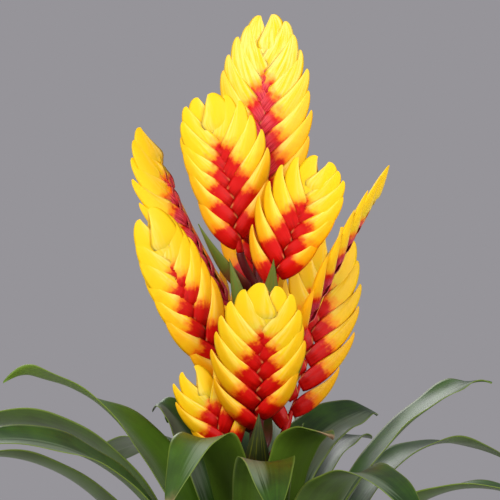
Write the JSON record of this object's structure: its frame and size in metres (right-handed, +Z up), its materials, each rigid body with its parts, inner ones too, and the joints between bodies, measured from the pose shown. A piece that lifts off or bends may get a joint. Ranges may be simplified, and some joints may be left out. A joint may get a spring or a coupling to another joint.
{
  "type": "potted flaming sword bromeliad",
  "caption": "Potted flaming sword bromeliad: a rosette of arching strap leaves round one upright stem of flat yellow spikes of overlapping bracts with red middles.",
  "frame": {"origin": "centre of the pot's underside", "axes": "+Z up along the flower stem, -Y towards the viewer's side, +X to the viewer's right"},
  "size_m": [0.3553, 0.3234, 0.4796],
  "materials": {
    "pot": "satin moulded plastic",
    "soil": "rough crumbly potting mix",
    "stem": "smooth dark crimson stalk",
    "leaf": "leathery with a grey sheen",
    "bract": "waxy satin, yellow with a red middle"
  },
  "bodies": {
    "root": {"pot": "pot", "soil": "soil", "flower_stem": "stem", "leaf_01": "leaf", "leaf_02": "leaf", "leaf_03": "leaf", "leaf_04": "leaf", "leaf_05": "leaf", "leaf_06": "leaf", "leaf_07": "leaf", "leaf_08": "leaf", "leaf_09": "leaf", "leaf_10": "leaf", "leaf_11": "leaf", "leaf_12": "leaf", "leaf_13": "leaf", "leaf_14": "leaf", "leaf_15": "leaf", "leaf_16": "leaf", "leaf_17": "leaf", "leaf_18": "leaf", "leaf_19": "leaf", "spike_top": "bract", "spike_upper_left": "bract", "spike_leaning_right": "bract", "spike_far_left": "bract", "spike_middle_left": "bract", "spike_front": "bract", "spike_right_edge": "bract", "spike_right": "bract", "spike_lower_left": "bract", "spike_back_upper": "bract", "spike_back_left": "bract", "spike_back_right": "bract"}
  },
  "joints": []
}
